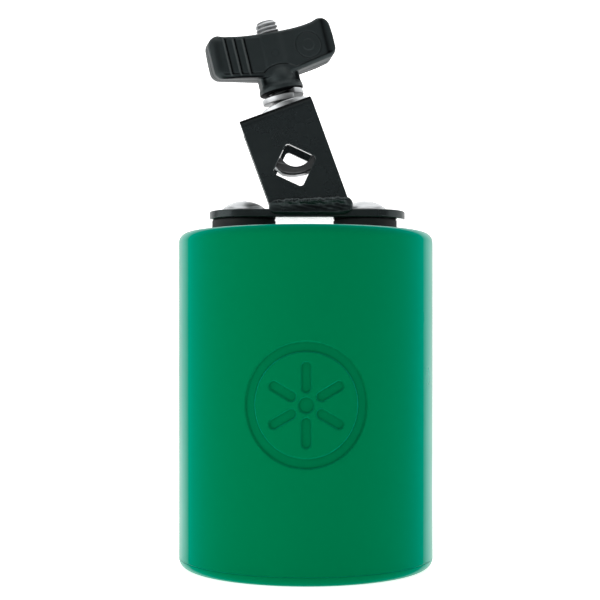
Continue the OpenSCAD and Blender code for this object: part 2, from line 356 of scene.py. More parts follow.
class Graph:
    """Short hand for building a node tree."""

    def __init__(self, name):
        self.material = bpy.data.materials.new(name)
        self.material["slot"] = name
        self.material.use_nodes = True
        self.tree = self.material.node_tree
        self.shader = self.tree.nodes["Principled BSDF"]
        self.place = self.add("ShaderNodeTexCoord").outputs["Object"]

    def add(self, kind, **settings):
        node = self.tree.nodes.new(kind)
        for key, value in settings.items():
            setattr(node, key, value)
        return node

    def put(self, target, value):
        if isinstance(value, bpy.types.NodeSocket):
            self.tree.links.new(value, target)
        else:
            target.default_value = value

    def noise(self, scale, detail=3.0, stretch=None, rough=0.55):
        node = self.add("ShaderNodeTexNoise")
        place = self.place
        if stretch:
            mapping = self.add("ShaderNodeMapping")
            self.put(mapping.inputs["Vector"], place)
            mapping.inputs["Scale"].default_value = stretch
            place = mapping.outputs["Vector"]
        self.put(node.inputs["Vector"], place)
        self.put(node.inputs["Scale"], scale)
        self.put(node.inputs["Detail"], detail)
        self.put(node.inputs["Roughness"], rough)
        return node.outputs["Fac"]

    def ranged(self, value, low, high, start=0.3, end=0.7):
        node = self.add("ShaderNodeMapRange")
        for key, item in (("Value", value), ("From Min", start), ("From Max", end),
                          ("To Min", low), ("To Max", high)):
            self.put(node.inputs[key], item)
        return node.outputs["Result"]

    def mix(self, factor, a, b, blend="MIX"):
        node = self.add("ShaderNodeMix", data_type="RGBA", blend_type=blend)
        self.put(node.inputs["Factor"], factor)
        self.put(node.inputs[6], a)
        self.put(node.inputs[7], b)
        return node.outputs[2]

    def times(self, a, b, operation="MULTIPLY"):
        node = self.add("ShaderNodeMath", operation=operation)
        self.put(node.inputs[0], a)
        self.put(node.inputs[1], b)
        return node.outputs[0]

    def bump(self, height, depth, normal=None):
        node = self.add("ShaderNodeBump")
        node.inputs["Strength"].default_value = 1.0
        self.put(node.inputs["Distance"], depth)
        self.put(node.inputs["Height"], height)
        if normal is not None:
            self.put(node.inputs["Normal"], normal)
        return node.outputs["Normal"]

    # Reads the per-vertex painted shading, painted shade above 0 and painted highlight below.
    def painted_shading(self):
        return self.add("ShaderNodeAttribute", attribute_name="painted_shading").outputs["Fac"]

    def grazing(self, low, high, start, end):
        """From low, seen straight on, to high, seen edge-on."""
        facing = self.add("ShaderNodeLayerWeight").outputs["Facing"]
        return self.ranged(facing, low, high, start, end)


def moulded_green(name, colour, dark):
    """Glossy moulded plastic: faint flow marks, clouded gloss, painted shade in the sunk lines."""
    g = Graph(name)
    flow = g.noise(26.0, 2.0, (1.0, 1.0, 0.35))
    base = g.mix(g.ranged(flow, 0.0, 1.0), (*colour, 1), (*[c * 0.97 for c in colour], 1))
    # Painted shade: towards the dark colour where the painted shading attribute is set.
    base = g.mix(g.times(g.painted_shading(), 0.75), base, (*dark, 1))
    g.put(g.shader.inputs["Base Color"], base)
    g.put(g.shader.inputs["Specular IOR Level"], g.grazing(0.0, 0.50, 0.62, 0.95))
    g.put(g.shader.inputs["Specular Tint"], (0.05, 1.0, 0.85, 1))
    g.put(g.shader.inputs["Sheen Weight"], g.grazing(0.85, 0.10, 0.60, 0.90))
    g.put(g.shader.inputs["Sheen Roughness"], 0.40)
    g.put(g.shader.inputs["Sheen Tint"], (0.0, 0.95, 1.0, 1))
    g.put(g.shader.inputs["Roughness"], g.ranged(g.noise(45.0, 1.0), 0.27, 0.31))
    return g.material


def black_coat(name, colour, rough, gloss, clear, grain, depth):
    """Black finish with a fine grain, painted highlights where the painted shading is below 0, and
    painted shade, darker and duller, where it is above 0.
    """
    g = Graph(name)
    cloud = g.noise(60.0, 3.0)
    light = tuple(c * 1.2 for c in colour)
    base = g.mix(g.ranged(cloud, 0.0, 1.0), (*colour, 1), (*light, 1))
    shade = g.painted_shading()
    # Painted shade: towards near black where the painted shading is above 0.
    base = g.mix(g.ranged(shade, 0.0, 1.0, 0.0, 1.0), base, (0.002, 0.0022, 0.0026, 1))
    # Painted highlight: towards a lighter grey where it is below 0.
    base = g.mix(g.ranged(shade, 1.0, 0.0, -1.0, 0.0), base, (0.07, 0.075, 0.075, 1))
    g.put(g.shader.inputs["Base Color"], base)
    # Painted shade also dulls the reflection.
    g.put(g.shader.inputs["Specular IOR Level"], g.ranged(shade, gloss, 0.02, 0.0, 0.9))
    g.put(g.shader.inputs["Specular Tint"], (0.82, 1.0, 1.0, 1))
    g.put(g.shader.inputs["Coat Weight"], g.grazing(0.0, clear, 0.80, 0.90))
    g.put(g.shader.inputs["Coat Roughness"], 0.08)
    smear = g.ranged(g.noise(95.0, 4.0), rough - 0.02, rough + 0.03, 0.2, 0.8)
    g.put(g.shader.inputs["Roughness"], smear)
    coarse = g.bump(g.noise(grain * 0.3, 1.0), depth * 1.4)
    g.put(g.shader.inputs["Normal"], g.bump(g.noise(grain, 2.0), depth, coarse))
    return g.material


def plated_metal(name, colour, shade, rough, streak):
    """Metal with cloudy plating, fine streaks and soft dents."""
    g = Graph(name)
    cloud = g.noise(240.0, 4.0)
    base = g.mix(g.ranged(cloud, 0.0, 1.0), (*colour, 1), (*shade, 1))
    # Painted shade: towards a near-black tone of the plating where the painted shading attribute is
    # set.
    base = g.mix(g.painted_shading(), base, (*[c * 0.12 for c in shade], 1))
    g.put(g.shader.inputs["Base Color"], base)
    g.put(g.shader.inputs["Metallic"], 1.0)
    lines = g.noise(300.0, 3.0, streak)
    g.put(g.shader.inputs["Roughness"], g.ranged(lines, rough - 0.07, rough + 0.1))
    soft = g.bump(g.noise(260.0, 2.0), 0.00002)
    g.put(g.shader.inputs["Normal"], g.bump(lines, 0.000004, soft))
    return g.material


def soft_rubber(name, colour):
    g = Graph(name)
    bloom = g.noise(190.0, 5.0)
    base = g.mix(g.ranged(bloom, 0.0, 1.0), (*colour, 1), (*[c * 2.1 for c in colour], 1))
    g.put(g.shader.inputs["Base Color"], base)
    g.put(g.shader.inputs["Roughness"], g.ranged(bloom, 0.62, 0.82))
    g.put(g.shader.inputs["Normal"], g.bump(g.noise(2400.0, 2.0), 0.00002))
    return g.material


# The last colour of each green is the painted shade colour of its sunk marks.
GREEN = moulded_green("green_plastic", (0.0, 0.172, 0.060), (0.0, 0.100, 0.034))
GREEN_CAP = moulded_green("green_cap", (0.0, 0.170, 0.060), (0.0, 0.100, 0.034))
COAT = black_coat("black_powder_coat", (0.010, 0.0125, 0.0135), 0.27, 0.5, 1.0, 1500.0, 0.00002)
NYLON = black_coat("black_nylon", (0.008, 0.0105, 0.0115), 0.50, 0.42, 0.0, 2600.0, 0.00002)
ZINC = plated_metal("zinc_plate", (0.64, 0.66, 0.67), (0.56, 0.58, 0.59), 0.36, (1, 1, 5))
STEEL = plated_metal("shot_steel", (0.56, 0.56, 0.58), (0.42, 0.42, 0.44), 0.22, (1, 1, 1))
DULL_STEEL = plated_metal("insert_steel", (0.34, 0.35, 0.36), (0.20, 0.21, 0.22), 0.34,
                          (6, 6, 1))
RUBBER = soft_rubber("black_rubber", (0.006, 0.0065, 0.0075))
NUT_NYLON = soft_rubber("nut_nylon", (0.05, 0.12, 0.40))


# ---------- can ----------

MEDAL_Z = 58.2
MEDAL_R, MEDAL_BAND, MEDAL_DEPTH = 20.3, 3.3, 0.6


def medal_depth(across, up):
    """Depth of the sunk ring and of the six-spoke rosette inside it."""
    radius = np.hypot(across, up)
    ring = np.abs(radius - (MEDAL_R - MEDAL_BAND / 2)) - MEDAL_BAND / 2
    angle = np.arctan2(across, up)
    near = angle - np.round(angle / (math.pi / 3)) * (math.pi / 3)
    along, beside = radius * np.cos(near), radius * np.sin(near)
    spoke = np.hypot(along - np.clip(along, 5.6, 12.2), beside) - 1.65
    mark = np.minimum(np.minimum(ring, spoke), radius - 2.6)
    return MEDAL_DEPTH * smooth_step(-mark, -0.22, 0.22), mark


def can_radius(angle, z):
    """Outside radius at an angle from the front, and the distance to the sunk marks."""
    across = CAN_R * angle
    depth, mark = medal_depth(across, z - MEDAL_Z)
    return CAN_R - depth, mark


def can_shell():
    edge, top, wall = 3.3, CAN_TOP, 2.5
    fine = np.arange(-22.2, 22.3, 0.3)
    angles = np.concatenate([fine / CAN_R, np.linspace(0.52, 2 * math.pi - 0.52, 300)])
    angles = np.sort(angles)
    heights = np.concatenate([[SHELL_LOW[2] + 0.25], np.linspace(8, 34, 12), fine + MEDAL_Z,
                              np.linspace(84, top - edge - 0.4, 10)])
    a, z = np.meshgrid(angles, heights)
    radius, mark = can_radius(a, z)
    body = grid_points(a, radius, z)
    eps = 1e-3
    da = grid_points(a + eps, can_radius(a + eps, z)[0], z) - body
    dz = grid_points(a, can_radius(a, z + eps)[0], z + eps) - body
    normals = np.cross(da, dz)
    below = arc(CAN_R - 0.25, SHELL_LOW[2] + 0.25, 0.25, -math.pi / 2, 0, 4)[:-1]
    below = np.concatenate([[[CAN_R - wall, SHELL_LOW[2]]], below])
    above = np.concatenate([arc(CAN_R - edge, top - edge, edge, 0, math.pi / 2, 14),
                            [[CAN_R - edge - 2, top], [20, top], [1, top]],
                            [[1, top - 3.5], [CAN_R - wall - 2, top - 3.5]],
                            arc(CAN_R - wall - 2, top - 5.5, 2, math.pi / 2, 0, 5)])
    low_v, low_n = spun(below, angles)
    high_v, high_n = spun(above, angles)
    verts = np.concatenate([low_v, body.reshape(-1, 3), high_v])
    norm = np.concatenate([low_n, normals.reshape(-1, 3) / np.linalg.norm(
        normals.reshape(-1, 3), axis=1, keepdims=True), high_n])
    rows = len(below) + len(heights) + len(above)
    faces = strip_faces(rows, len(angles))
    last = (rows - 1) * len(angles)
    c = np.arange(len(angles))
    n = (c + 1) % len(angles)
    faces += np.stack([last + c, last + n, n, c], -1).tolist()
    # Painted shade in the sunk medallion marks.
    sunk = np.concatenate([np.zeros(len(low_v)), painted_mark_shade(mark).ravel(),
                           np.zeros(len(high_v))])
    return verts, faces, fix_flat(norm, verts, faces, len(low_v), len(high_v)), sunk


def painted_mark_shade(mark):
    """Painted shade: strongest just inside the rim of a sunk mark, faint over its floor."""
    rim = np.exp(-((mark + 0.25) / 0.28) ** 2)
    return np.clip(0.30 * smooth_step(-mark, 0.0, 0.4) + 0.55 * rim, 0, 1)


def fix_flat(norm, verts, faces, low, high):
    """Area-weighted normals above and below the side wall, exact ones on it."""
    plain = area_normals(verts, faces)
    plain /= np.maximum(np.linalg.norm(plain, axis=1, keepdims=True), 1e-12)
    norm[:low] = plain[:low]
    norm[len(norm) - high:] = plain[len(norm) - high:]
    return norm


def grid_points(angle, radius, z):
    return np.stack([radius * np.sin(angle), -radius * np.cos(angle), z + 0 * angle], -1)


def arc(cx, cz, r, start, end, steps):
    a = np.linspace(start, end, steps + 1)
    return np.stack([cx + r * np.cos(a), cz + r * np.sin(a)], 1)


def spun(profile, angles):
    a, r = np.meshgrid(angles, profile[:, 0])
    z = np.repeat(profile[:, 1:], len(angles), 1)
    points = grid_points(a, r, z).reshape(-1, 3)
    return points, points * 0


def end_cap():
    seam = CAP_HIGH[2] - 9 - 0.02
    edge = 3.3
    profile = np.concatenate([[[0.5, 0], [CAN_R - edge - 6, 0]],
                              arc(CAN_R - edge, edge, edge, -math.pi / 2, 0, 14)[:-1],
                              arc(CAN_R - 0.25, seam - 0.2, 0.25, 0, math.pi / 2, 4)[:-1],
                              [[CAN_R - 0.5, seam], [41.93, seam], [41.93, CAP_HIGH[2]],
                               [39.95, CAP_HIGH[2]], [39.95, 3], [0.5, 3]]])
    verts, faces = lathe(profile, 240)
    return verts, capped(faces, 240, len(profile))


# ---------- mounting ----------

def isolator(side):
    low, high = box_mm("isolator_" + side)
    section = rounded([(3.43, low[2]), (9.2, low[2]), (10, low[2] + 0.8), (10, 112.55),
                       (8, 112.6), (8, CAN_TOP + 0.02), (11.15, CAN_TOP + 0.02),
                       (11.15, high[2]), (3.43, high[2])],
                      [0.1, 0.3, 0.3, 0.1, 0.1, 0.1, 0.7, 0.7, 0.1], 5)
    verts, faces = ring_lathe(section, 96)
    return verts + [(low[0] + high[0]) / 2, 0, 0], faces


def base_plate():
    half = PLATE_HIGH[1]
    right = arc(PLATE_HIGH[0] - half, 0, half, -math.pi / 2, math.pi / 2, 40)
    left = arc(PLATE_LOW[0] + half, 0, half, math.pi / 2, 3 * math.pi / 2, 40)
    loops = [np.concatenate([right, left])]
    for name in ("screw_left", "screw_right"):
        low, high = box_mm(name)
        loops.append(arc((low[0] + high[0]) / 2, 0, 3.43, 2 * math.pi, 0, 40)[:-1])
    verts, faces, normals = sheet(loops, PLATE_TOP - PLATE_LOW[2], 0.45)
    verts[:, 2] = PLATE_TOP - verts[:, 2]
    return verts, [f[::-1] for f in faces], normals * [1, 1, -1]


def screw(node, turn):
    """Domed head with a cross recess, plain shank."""
    low, high = box_mm(node)
    head_r, head_h, rim = (high[0] - low[0]) / 2, high[2] - PLATE_TOP, 0.9
    radii = np.concatenate([np.arange(0.12, 3.7, 0.13), np.linspace(3.9, head_r - 0.45, 16)])
    dome = (head_r ** 2 + (head_h - rim) ** 2) / (2 * (head_h - rim))
    columns = 192
    a = np.linspace(0, 2 * math.pi, columns, endpoint=False)
    r, t = np.meshgrid(radii, a, indexing="ij")
    x, y = r * np.cos(t + turn), r * np.sin(t + turn)
    arms = np.minimum(np.maximum(np.abs(x) - 3.1, np.abs(y) - 0.72),
                      np.maximum(np.abs(y) - 3.1, np.abs(x) - 0.72))
    cut = smooth_step(-arms, -0.12, 0.3) * (2.1 - 0.35 * r)
    z = head_h - dome + np.sqrt(dome ** 2 - r ** 2) - np.maximum(cut, 0)
    top = np.stack([r * np.cos(t), r * np.sin(t), z], -1)[::-1].reshape(-1, 3)
    edge = rounded([(3.3, -25.4), (3.15, 0.03), (head_r - 0.05, 0.03), (head_r, 0.5),
                    (head_r - 0.45, z[-1, 0])], [0, 0.1, 0.2, 0.35, 0], 4, closed=False)
    below, _ = lathe(np.concatenate([[[0.4, -25.4], [2.4, -25.4], [3.15, -24.6]], edge[1:-1]]),
                     columns)
    verts = np.concatenate([below, top])
    rows = len(verts) // columns
    faces = capped(strip_faces(rows, columns), columns, rows)
    # Painted shade in the cross recess.
    mask = np.concatenate([np.zeros(len(below)), smooth_step(cut, 0.1, 1.4)[::-1].ravel()])
    return verts + [(low[0] + high[0]) / 2, 0, PLATE_TOP], faces, None, mask


# ---------- bracket ----------

def channel():
    """Sheet with a round hole and two diamond windows, bent into an inverted U."""
    half, depth = CHANNEL_W / 2, PLATE_HIGH[1]
    leg, bow, crown = CHANNEL_H - BEND_R, BEND_R * math.pi / 2, 2 * (depth - BEND_R)
    total = 2 * leg + 2 * bow + crown
    slope = math.tan(CHANNEL_LEAN)
    outer = rounded([(-half, half * slope), (half, -half * slope),
                     (half, total + half * slope), (-half, total - half * slope)], 0.5, 4)
    hole = arc(3.8, leg + bow + crown / 2, 5.0, 2 * math.pi, 0, 56)[:-1]
    diamond = 11.4 / math.sqrt(2)
    loops = [subdivided(outer, 0.6), hole]
    for centre in (16.1, total - 16.1):
        corners = [(-0.35, centre - diamond), (-0.35 - diamond, centre),
                   (-0.35, centre + diamond), (-0.35 + diamond, centre)]
        loops.append(rounded(corners, 1.3, 7))
    seeds = []
    for start in (leg, leg + bow + crown):
        for v in np.linspace(start, start + bow, 11):
            seeds += [(u, v) for u in np.linspace(-half + 0.8, half - 0.8, 26)]
    verts, faces, normals = sheet(loops, CHANNEL_T, 0.25, seeds)
    # Painted shade over both bends, darkening the coat and dulling its reflection there.
    beyond = np.minimum(verts[:, 1], total - verts[:, 1]) - leg
    shade = 0.9 * smooth_step(beyond, 0.3, 2.2) * smooth_step(bow + 2 - beyond, 0, 1.5)
    verts, normals = bent(verts, normals, leg, bow, crown, depth)
    return verts, [f[::-1] for f in faces], normals, shade


def bent(verts, normals, leg, bow, crown, depth):
    """(u across, v along the strip, w inwards) to the bent channel."""
    (u, v, w), (nu, nv, nw) = verts.T, normals.T
    total = 2 * leg + 2 * bow + crown
    back = v > total / 2
    s = np.where(back, total - v, v)
    sign = np.where(back, 1.0, -1.0)
    angle = np.clip((s - leg) / BEND_R, 0, math.pi / 2)
    out_y, out_z = sign * np.cos(angle), np.sin(angle)
    y = sign * (depth - BEND_R) + BEND_R * out_y - sign * np.maximum(s - leg - bow, 0)
    z = np.minimum(s, leg) + BEND_R * out_z
    points = on_channel(np.stack([u, y - w * out_y, z - w * out_z], -1))
    along_y, along_z = out_z, -sign * np.cos(angle)
    facing = np.stack([nu, nv * along_y - nw * out_y, nv * along_z - nw * out_z], -1)
    return points, on_channel(facing) - CHANNEL_FOOT


def wave(x, seed):
    """Gentle repeatable unevenness between about -1 and 1."""
    return sum(math.sin(seed * k * 1.7 + k) * np.sin(x * (0.37 * k + 0.11 * seed) + seed * k)
               for k in range(1, 7)) / 2.4


def weld(side):
    """Bead over the joint of channel and plate: a rough crest near the top, concave below it,
    thicker and higher at the right end."""
    low, high = box_mm("weld_front")
    x = np.linspace(low[0] + 0.15, high[0] - 0.1, 260)[:, None]
    t = np.linspace(-1, 1, 56)[None, :]
    share = (x - low[0]) / (high[0] - low[0])
    end = np.sqrt(np.clip(1 - np.abs(2 * share - 1) ** 9, 0.004, 1))
    top = 127.3 + 1.2 * share + 0.22 * wave(x * 1.3, 2.3) + 0.05 * wave(x * 3.1, 1.3)
    bottom = 121.75 + 0.12 * wave(x, 1.9)
    z = (top + bottom) / 2 + (top - bottom) / 2 * end * t
    crest = bell(t - 0.62 - 0.03 * wave(x, 3.3), 0.30)
    lip = bell(t + 0.66, 0.20)
    lump = bell(share - 0.95, 0.045) + 0.8 * bell(share, 0.26)
    swirl = wave(0.5 * x + 6.0 * t, 1.7)
    bulge = 0.62 + 0.52 * crest + 0.20 * lip + 0.45 * lump * (1 - crest)
    bulge = bulge + 0.07 * crest * wave(x * 2.1, 0.9) + 0.05 * swirl
    bulge = bulge * np.sqrt(np.clip(1 - t ** 4, 0, 1)) * end + 0.02
    front = np.stack([x + 0 * t, side * (12.0 + np.minimum(bulge, 1.78)), z], -1)
    rows, columns = front.shape[:2]
    rim = np.concatenate([front[0], front[1:, -1], front[-1, -2::-1], front[-2:0:-1, 0]])
    rim_ids = np.concatenate([np.arange(columns), np.arange(1, rows) * columns + columns - 1,
                              (rows - 1) * columns + np.arange(columns - 2, -1, -1),
                              np.arange(rows - 2, 0, -1) * columns])
    back = rim.copy()
    back[:, 1] = side * 11.6
    verts = np.concatenate([front.reshape(-1, 3), back])
    n, base = len(rim), rows * columns
    c = np.arange(n)
    faces = strip_faces(rows, columns, wrap=False)
    faces += np.stack([rim_ids[c], base + c, base + (c + 1) % n, rim_ids[(c + 1) % n]],
                      -1).tolist()
    faces += [[base + i for i in range(n)][::-1]]
    if side < 0:
        faces = [f[::-1] for f in faces]
    # Painted shading: a painted shadow along the top edge, painted glints on the crest and painted
    # shade over the concave band below it.
    shade = 0.75 * bell(t - 0.95, 0.10) - 0.45 * crest * smooth_step(wave(x * 3.7, 2.1), 0.3, 0.5)
    shade = shade + 0.6 * bell(t + 0.12 + 0.1 * wave(x, 2.6), 0.28) * smooth_step(
        share, 0.2, 0.4) * smooth_step(0.95 - share, 0, 0.1)
    return verts, faces, None, np.concatenate([shade.ravel(), np.zeros(n)])


# ---------- clamp ----------

def flat_washer():
    section = rounded([(4.4, 0.02), (8.3, 0.02), (8.3, 1.8), (4.4, 1.8)],
                      [0.12, 0.15, 0.45, 0.3], 5)
    verts, faces = ring_lathe(section, 128)
    return on_channel(verts + [4.0, 0, CHANNEL_H]), faces


def lock_washer():
    """One turn of square wire that rises by its own thickness."""
    steps, low_end, gap, wire = 120, math.radians(-59), math.radians(3.5), 1.9
    section = rounded([(4.2, 0), (7.4, 0), (7.4, wire), (4.2, wire)],
                      0.16, 4)
    share = np.linspace(0, 1, steps + 1)[:, None]
    angle = low_end - (2 * math.pi - gap) * share
    z = (share - 2) * wire + section[None, :, 1] - 0.02 * share
    radius = section[None, :, 0] + 0 * share
    verts = np.stack([radius * np.cos(angle), radius * np.sin(angle), z], -1)
    columns = len(section)
    faces = strip_faces(steps + 1, columns)
    # Painted shade on the underside, the inner side and the two end faces of the coil.
    below = 0.85 * smooth_step(0.25 - section[:, 1], 0, 0.15)
    inner = 0.9 * smooth_step(4.6 - section[:, 0], 0, 0.3)
    shade = np.maximum(np.maximum(below, inner)[None, :], 0.55 * (share % 1 == 0))
    faces = capped(faces, columns, steps + 1)
    return on_bolt(verts.reshape(-1, 3)), faces, None, shade.ravel()


EYE_SIDE, EYE_LOW, EYE_FLAT, EYE_BORE, EYE_HALF = 9.4, 8.5, 13.0, 5.7, 4.2


def eye_field(x, y, u):
    """Forged eye, flatter below, melted into the shank."""
    z = u + EYE_DROP
    outside = np.maximum(np.hypot(x, z) - EYE_SIDE,
                         np.hypot(x, z - (EYE_FLAT - EYE_LOW)) - EYE_FLAT)
    eye = round_join(outside, np.abs(y) - EYE_HALF, 0.9)
    shank = round_join(np.hypot(x, y) - 3.62, np.abs(u + 8.5) - 4.5, 0.3)
    solid = round_join(melt(eye, shank, 1.6), np.abs(y) - EYE_HALF, 0.3)
    return round_join(solid, EYE_BORE - np.hypot(x, z), 0.5)


def threaded_shank():
    """Right-hand 5/16-18 thread with a chamfered tip."""
    pitch, major, depth, columns = 1.411, 3.97, 0.62, 56
    u = np.concatenate([np.arange(-9.5, BOLT_TIP - 0.05, pitch / 12), [BOLT_TIP - 0.04]])
    a = np.linspace(0, 2 * math.pi, columns, endpoint=False)
    u, a = np.meshgrid(u, a, indexing="ij")
    phase = np.abs(((u / pitch - a / (2 * math.pi)) % 1) * 2 - 1)
    groove = depth * smooth_step(phase, 0.10, 0.86) * smooth_step(u, -7.5, -5.5)
    radius = np.minimum(major - groove, major - 1.1 * (u - BOLT_TIP + 1.2) / 1.2)
    verts = np.stack([radius * np.cos(a), radius * np.sin(a), u], -1).reshape(-1, 3)
    rows = len(verts) // columns
    cap = np.stack([np.cos(a[0]) * 2.2, np.sin(a[0]) * 2.2, 0 * a[0] + BOLT_TIP], -1)
    verts = np.concatenate([verts, cap])
    faces = capped(strip_faces(rows + 1, columns), columns, rows + 1)
    # A little darker all over, with painted shade in the thread grooves and a painted shadow on the
    # shank below the knob.
    shade = 0.22 + 0.6 * smooth_step(groove, 0.25, depth)
    shade = np.maximum(shade, 0.93 * smooth_step(1.5 - u, 0, 1.5))
    mask = np.concatenate([shade.ravel(), np.full(columns, 0.2)])
    return verts, faces, mask


def eye_bolt():
    eye_v, eye_f, eye_n = surface_net(eye_field, (-10.2, -5, -30), (10.2, 5, -3), 0.3)
    shank_v, shank_f, shank_mask = threaded_shank()
    shank_n = area_normals(shank_v, shank_f)
    verts, faces = joined((eye_v, eye_f), (shank_v, shank_f))
    normals = np.concatenate([eye_n, shank_n / np.linalg.norm(shank_n, axis=1, keepdims=True)])
    # Painted shade on the eye's flat front and back faces, with lighter painted patches on its left
    # side.
    face = 0.88 * smooth_step(np.abs(eye_n[:, 1]), 0.3, 0.8) \
        * (1 - 0.5 * smooth_step(wave(eye_v[:, 0] * 1.2 + eye_v[:, 2] * 2.9, 2.7), 0.3, 0.6)
           * smooth_step(-eye_v[:, 0], 2.5, 4.5))
    mask = np.concatenate([face, shank_mask])
    return on_bolt(verts), faces, on_bolt(normals) - BOLT_FOOT, mask


# ---------- knob ----------

KNOB_TURN = math.radians(14)
WING_SHIFT = -0.5
WING_HALF = 5.0
INSERT_R = box_mm("knob_insert")[1][1]
INSERT_TOP = 10.0


def wing_outline(sweep):
    """Both wings seen from the front: raised lower edges and a saddle-shaped top edge."""
    root, end = 5.4, 5.4 + sweep * 15.05
    saddle = [(r, 20.95 + 0.3 * (r / 10) ** 3) for r in range(16, -1, -2)]
    right = np.concatenate([[(0, root - 0.1), (4.6, root)],
                            arc(19.1, end + 3.01, 3.1, math.radians(-76), 0, 8),
                            arc(18.6, 19.45, 3.6, 0, math.radians(98), 10), saddle])
    left = right[::-1] * [-1, 1]
    return np.concatenate([right[:-1], left[:-1]])


SWEEP, BOLD_SWEEP = 0.219, 0.148
WING_LOOP, BOLD_LOOP = wing_outline(SWEEP), wing_outline(BOLD_SWEEP)
RIBS = (10.75, 14.05, 17.35)
EMBLEM_X, EMBLEM_U, EMBLEM_R = 12.2, 14.2, 4.65


def wing_face(x, u):
    """How far a face lies inside the wing's half thickness, seen from that face's own front,
    and its painted shading, painted shade above 0 and painted highlight below: ribs on the
    left wing, a sunk panel with a plain ring on the right one."""
    r = np.abs(x)
    sweep = np.where(x < 0, BOLD_SWEEP, SWEEP)
    above = (u - 5.4 - sweep * np.maximum(r - 4.6, 0)) / np.sqrt(1 + sweep ** 2)
    hub = 5.2 * (np.hypot(x / 7.2, (u - 4.0) / 5.2) - 1)
    above = np.minimum(above, hub + 1.45)
    below = 20.95 + 0.3 * (r / 10) ** 3 - u
    from_end = 22.0 - r
    left = smooth_step(-x, 3.6, 5.0)
    field = left * smooth_step(above, 1.25, 1.5) * smooth_step(below, 0.8, 1.5) \
        * smooth_step(from_end, 0.4, 6.0)
    line = smooth_step(4.0 - x, 0, 1.0) * bell(above - 1.45, 0.27) \
        * smooth_step(from_end, 1.6, 3.0)
    rib = sum(np.exp(-((x + k) / 0.34) ** 4) for k in RIBS)
    cut = sum(bell(x + k - 0.70, 0.38) for k in RIBS) * smooth_step(above, 1.2, 1.5) \
        * smooth_step(below, 0.8, 1.3)
    panel = smooth_step(from_end, 2.3, 3.4) * smooth_step(above, 1.3, 2.0) \
        * smooth_step(x, 1.0, 4.5)
    across = np.hypot(x - EMBLEM_X, u - EMBLEM_U)
    ring = bell(across - EMBLEM_R, 0.26)
    boss = smooth_step(2.0 - across, -0.2, 0.2)
    gate = bell(np.hypot(x + 0.4, u - 13.2) - 1.25, 0.2)
    depth = (0.30 * field * (1 - rib) + 0.20 * line * (1 - rib) + 0.38 * cut + 0.45 * panel
             + 0.16 * ring - 0.14 * boss + 0.05 * gate)
    edge = left * bell(above - 0.2, 0.40) * smooth_step(from_end, 1.0, 2.4) \
        * smooth_step(-x, 5.5, 7.0)
    corner = 0.35 * smooth_step(-x, 18.0, 21.0)
    end = bell(from_end - 3.1, 0.8) * smooth_step(above, 1.0, 2.0) * smooth_step(x, 2, 4)
    low = bell(above - 1.5, 0.35) * smooth_step(x, 5.0, 9.0) * smooth_step(from_end, 1.0, 2.2)
    # Painted shade: dark lines at the lower lip, the rib flanks, the lower edges and the right end,
    # in the emblem ring and over the left end; the gate mark is darkened too.
    dark = 0.85 * line * (1 - rib) + 0.95 * cut + 0.95 * edge + 0.8 * end + 0.7 * low \
        + 0.45 * ring + 0.15 * gate + corner * (1 - 0.8 * smooth_step(12 - u, 0, 4))
    # Painted highlight along the ribs.
    light = 0.55 * rib * left * smooth_step(above, 0.5, 0.8) * smooth_step(below, 0.8, 1.5)
    return depth, np.clip(dark, 0, 1) - light


def knob_parts(x, y, u):
    """Distances to the wings, the column and its collar. The lower edges are bolder on the
    front of the left wing and on the back of the right one."""
    bold = np.clip((y * np.sign(x) + WING_HALF) / (2 * WING_HALF), 0, 1)
    plain = loop_distance(x - WING_SHIFT, u, WING_LOOP)
    outline = plain + (loop_distance(x - WING_SHIFT, u, BOLD_LOOP) - plain) * bold
    depth = np.where(y < 0, wing_face(x, u)[0], wing_face(-x, u)[0])
    half = WING_HALF - depth - 0.25 * smooth_step(u, 12, 22)
    full = smooth_step(y * np.sign(x), -1.0, 4.0)
    soft = (0.45 + 0.9 * smooth_step(u, 15, 21) + 2.2 * full * smooth_step(np.abs(x), 14, 21)
            + 0.8 * (1 - full) * smooth_step(12.5 - u, 0, 4))
    outline = outline + 0.10 * bell(y - 0.4, 0.28)
    wing = round_join(outline, np.abs(y) - half, soft)
    across = 5.35
    deep = 7.0 - 2.9 * smooth_step(u, 3.5, 11.5)
    column = (np.sqrt((x / across) ** 2 + (y / deep) ** 2) - 1) * across
    column = round_join(column, np.abs(u - 6.0) - 6.0, 0.4)
    flare = 5.4 + 2.3 * (1 - smooth_step(u, 1.2, 5.2)) ** 1.2
    collar = round_join(np.hypot(x, y) - flare, np.abs(u - 2.9) - 2.9, 0.45)
    web = round_join(np.abs(x) - 7.0, np.abs(y) - 3.1, 0.7)
    web = round_join(web, np.abs(u - 4.6) - 4.0, 0.3)
    return wing, column, melt(collar, web, 0.9)


def knob_field(x, y, u):
    wing, column, collar = knob_parts(x, y, u)
    solid = melt(melt(wing, column, 0.5), collar, 0.6)
    hole = np.minimum(np.hypot(x, y) - 4.32,
                      np.maximum(np.hypot(x, y) - INSERT_R - 0.02, u - INSERT_TOP - 0.02))
    return round_join(solid, -hole, 0.2)


